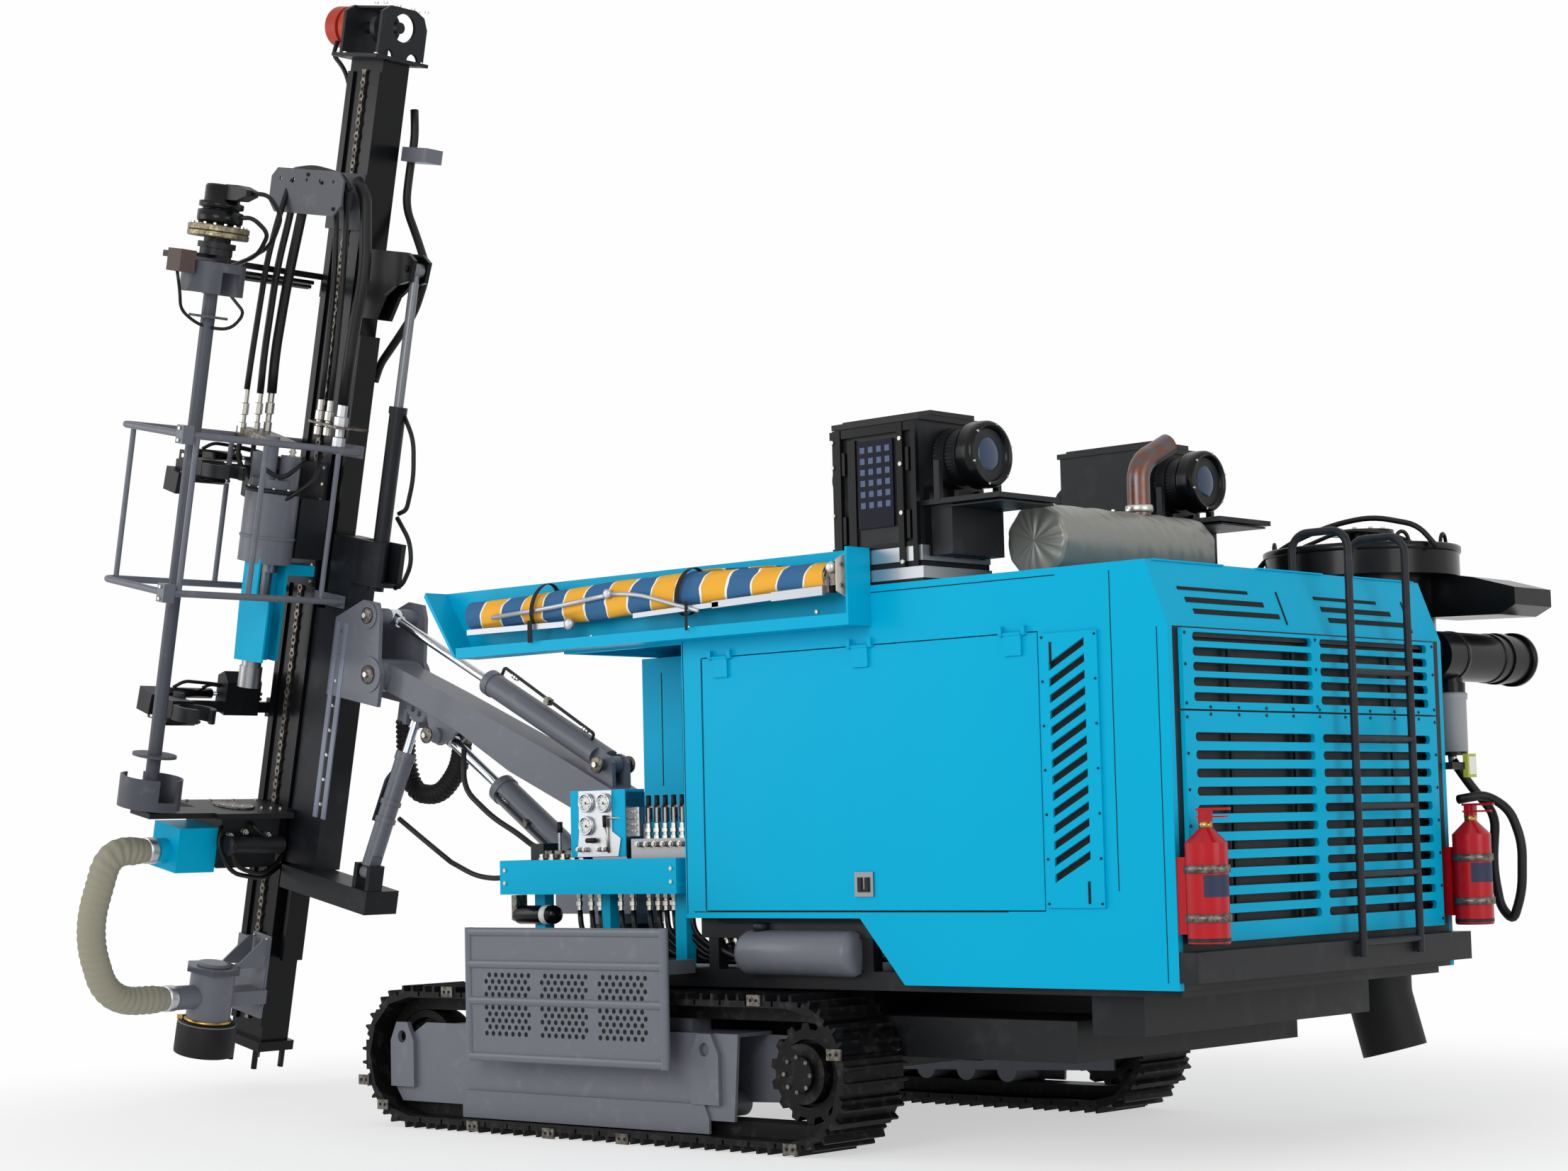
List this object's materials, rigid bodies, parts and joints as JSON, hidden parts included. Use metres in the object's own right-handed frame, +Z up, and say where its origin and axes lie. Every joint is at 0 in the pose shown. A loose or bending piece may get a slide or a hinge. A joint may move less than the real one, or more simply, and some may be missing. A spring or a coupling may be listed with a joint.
{
  "type": "down-the-hole drilling rig",
  "caption": "Tracked down-the-hole drilling rig: boom with leaning drill mast, rotary head, rod carousel, dust hood and a closed engine housing with roof units and ladder.",
  "frame": {"origin": "on the ground, midway between the two tracks and midway along them", "axes": "+Z up; the drill mast stands at the -X end and the radiator grille at the +X end; -Y is the machine's left side, with the controls and the awning"},
  "size_m": [7.5929, 3.2851, 6.1809],
  "materials": {
    "black_paint": "satin black paint",
    "track_steel": "dark worn steel",
    "grey_paint": "satin grey paint",
    "dark_grey_paint": "dark grey paint",
    "teal_paint": "glossy blue-green paint",
    "chrome": "hard chrome",
    "steel": "machined steel",
    "red_paint": "red paint",
    "engine_paint": "plain dark paint",
    "cloth": "woven cloth",
    "hot_steel": "heat-tinted steel"
  },
  "bodies": {
    "chassis": {"track_left": "track_steel", "track_right": "track_steel", "track_frames": "black_paint", "track_wheels": "track_steel", "chassis_frame": "black_paint", "step_guards": "grey_paint", "base_deck": "black_paint", "engine_block": "engine_paint", "side_wall_left": "teal_paint", "side_wall_right": "teal_paint", "vent_louvres": "teal_paint", "roof_panel": "teal_paint", "front_cabinet": "teal_paint", "rear_frame": "black_paint", "rear_grilles": "teal_paint", "ladder": "grey_paint", "fire_extinguishers": "red_paint", "discharge_boot": "black_paint", "roof_units": "black_paint", "muffler_wrap": "cloth", "exhaust_pipe": "hot_steel", "awning_tray": "teal_paint", "awning_roll": "cloth", "control_tray": "teal_paint", "control_valves": "steel", "dust_collector": "black_paint"},
    "left_door": {"door_left": "teal_paint"},
    "right_door": {"door_right": "teal_paint"},
    "post": {"boom_post": "grey_paint"},
    "boom_arm": {"boom": "grey_paint"},
    "lift_cylinder": {"lift_barrel": "grey_paint"},
    "lift_piston": {"lift_rod": "chrome"},
    "dump_cylinder": {"dump_barrel": "grey_paint"},
    "dump_piston": {"dump_rod": "chrome"},
    "swing_cylinder": {"swing_barrel": "grey_paint"},
    "swing_piston": {"swing_rod": "chrome"},
    "roll_cylinder": {"roll_barrel": "grey_paint"},
    "roll_piston": {"roll_rod": "chrome"},
    "feed_head": {"head_bracket": "grey_paint"},
    "cradle": {"feed_cradle": "dark_grey_paint"},
    "beam": {"feed_beam": "black_paint", "extension_rod": "chrome", "feed_chain": "track_steel", "crown": "grey_paint", "feed_motor": "red_paint", "carousel_drive": "black_paint", "rod_grippers": "black_paint", "guard_cage": "grey_paint", "breakout_table": "black_paint", "clamp_housing": "black_paint", "suction_box": "teal_paint", "dust_hood": "grey_paint", "dust_hose": "cloth"},
    "guide": {"hose_guide": "grey_paint"},
    "head": {"head_carriage": "dark_grey_paint", "rotary_head": "dark_grey_paint", "head_shield": "teal_paint"},
    "spindle_body": {"spindle": "steel"},
    "carousel": {"rod_carousel": "grey_paint"}
  },
  "joints": [
    {"name": "boom_swing", "type": "hinge", "parent": "chassis", "child": "post", "pos_m": [-1.01, 0, 1.06], "axis": [0, 0, 1], "range_deg": [-30, 30]},
    {"name": "boom_lift", "type": "hinge", "parent": "post", "child": "boom_arm", "pos_m": [-0.96, 0, 1.5], "axis": [0, 1, 0], "range_deg": [-20, 25]},
    {"name": "feed_tilt", "type": "hinge", "parent": "boom_arm", "child": "feed_head", "pos_m": [-2.83, 0, 2.3], "axis": [0, -1, 0], "range_deg": [-70, 12]},
    {"name": "feed_roll", "type": "hinge", "parent": "feed_head", "child": "cradle", "pos_m": [-2.80444, 0, 2.41724], "axis": [0.977, 0, -0.213], "range_deg": [-10, 15]},
    {"name": "feed_extend", "type": "slide", "parent": "cradle", "child": "beam", "axis": [-0.213, 0, -0.977], "range_m": [-0.25, 0.6]},
    {"name": "hose_guide_slide", "type": "slide", "parent": "beam", "child": "guide", "axis": [0.213, 0, 0.977], "range_m": [-0.3, 0.55]},
    {"name": "head_feed", "type": "slide", "parent": "guide", "child": "head", "axis": [0.213, 0, 0.977], "range_m": [-0.3, 0.55]},
    {"name": "spindle_turn", "type": "hinge", "parent": "head", "child": "spindle_body", "pos_m": [-3.51393, -0.45, 2.44912], "axis": [0.213, 0, 0.977], "continuous": true},
    {"name": "carousel_turn", "type": "hinge", "parent": "beam", "child": "carousel", "pos_m": [-3.41623, -1.1, 2.42782], "axis": [0.213, 0, 0.977], "continuous": true},
    {"name": "door_left_swing", "type": "hinge", "parent": "chassis", "child": "left_door", "pos_m": [1.5, -1.059, 2.165], "axis": [-1, 0, 0], "range_deg": [0, 85]},
    {"name": "door_right_swing", "type": "hinge", "parent": "chassis", "child": "right_door", "pos_m": [1.35, 1.059, 2.165], "axis": [1, 0, 0], "range_deg": [0, 85]},
    {"name": "lift_cylinder_pivot", "type": "hinge", "parent": "post", "child": "lift_cylinder", "pos_m": [-1.31, 0, 1.215], "axis": [0, 1, 0], "range_deg": [-21.82, 27.26]},
    {"name": "lift_rod_slide", "type": "slide", "parent": "lift_cylinder", "child": "lift_piston", "axis": [-0.8265, 0, 0.563], "range_m": [-0.149, 0.186]},
    {"name": "dump_cylinder_pivot", "type": "hinge", "parent": "boom_arm", "child": "dump_cylinder", "pos_m": [-1.093, 0, 1.745], "axis": [0, -1, 0], "range_deg": [-0.14, 0.6]},
    {"name": "dump_rod_slide", "type": "slide", "parent": "dump_cylinder", "child": "dump_piston", "axis": [-0.8915, 0, 0.4529], "range_m": [-0.3789, 0.0658]},
    {"name": "swing_cylinder_pivot", "type": "hinge", "parent": "chassis", "child": "swing_cylinder", "pos_m": [-0.33, 0.3, 1.06], "axis": [0, 0, 1], "range_deg": [-1.37, 1.37]},
    {"name": "swing_rod_slide", "type": "slide", "parent": "swing_cylinder", "child": "swing_piston", "axis": [-0.9973, -0.0733, 0], "range_m": [-0.1253, 0.1253]},
    {"name": "roll_cylinder_pivot", "type": "hinge", "parent": "cradle", "child": "roll_cylinder", "pos_m": [-2.93412, -0.11, 1.21221], "axis": [0.977, 0, -0.213], "range_deg": [-3.51, 5.25]},
    {"name": "roll_rod_slide", "type": "slide", "parent": "roll_cylinder", "child": "roll_piston", "axis": [0.2071, 0.2346, 0.9498], "range_m": [-0.0415, 0.028]}
  ],
  "couplings": [
    {"joint": "head_feed", "follows": "hose_guide_slide", "ratio": 1},
    {"joint": "lift_cylinder_pivot", "follows": "boom_lift", "ratio": 1.0885},
    {"joint": "lift_rod_slide", "follows": "boom_lift", "m_per_rad": 0.424},
    {"joint": "dump_cylinder_pivot", "follows": "feed_tilt", "ratio": -0.00782},
    {"joint": "dump_rod_slide", "follows": "feed_tilt", "m_per_rad": 0.30931},
    {"joint": "swing_cylinder_pivot", "follows": "boom_swing", "ratio": -0.0439},
    {"joint": "swing_rod_slide", "follows": "boom_swing", "m_per_rad": 0.23736},
    {"joint": "roll_cylinder_pivot", "follows": "feed_roll", "ratio": 0.34633},
    {"joint": "roll_rod_slide", "follows": "feed_roll", "m_per_rad": -0.15481}
  ]
}
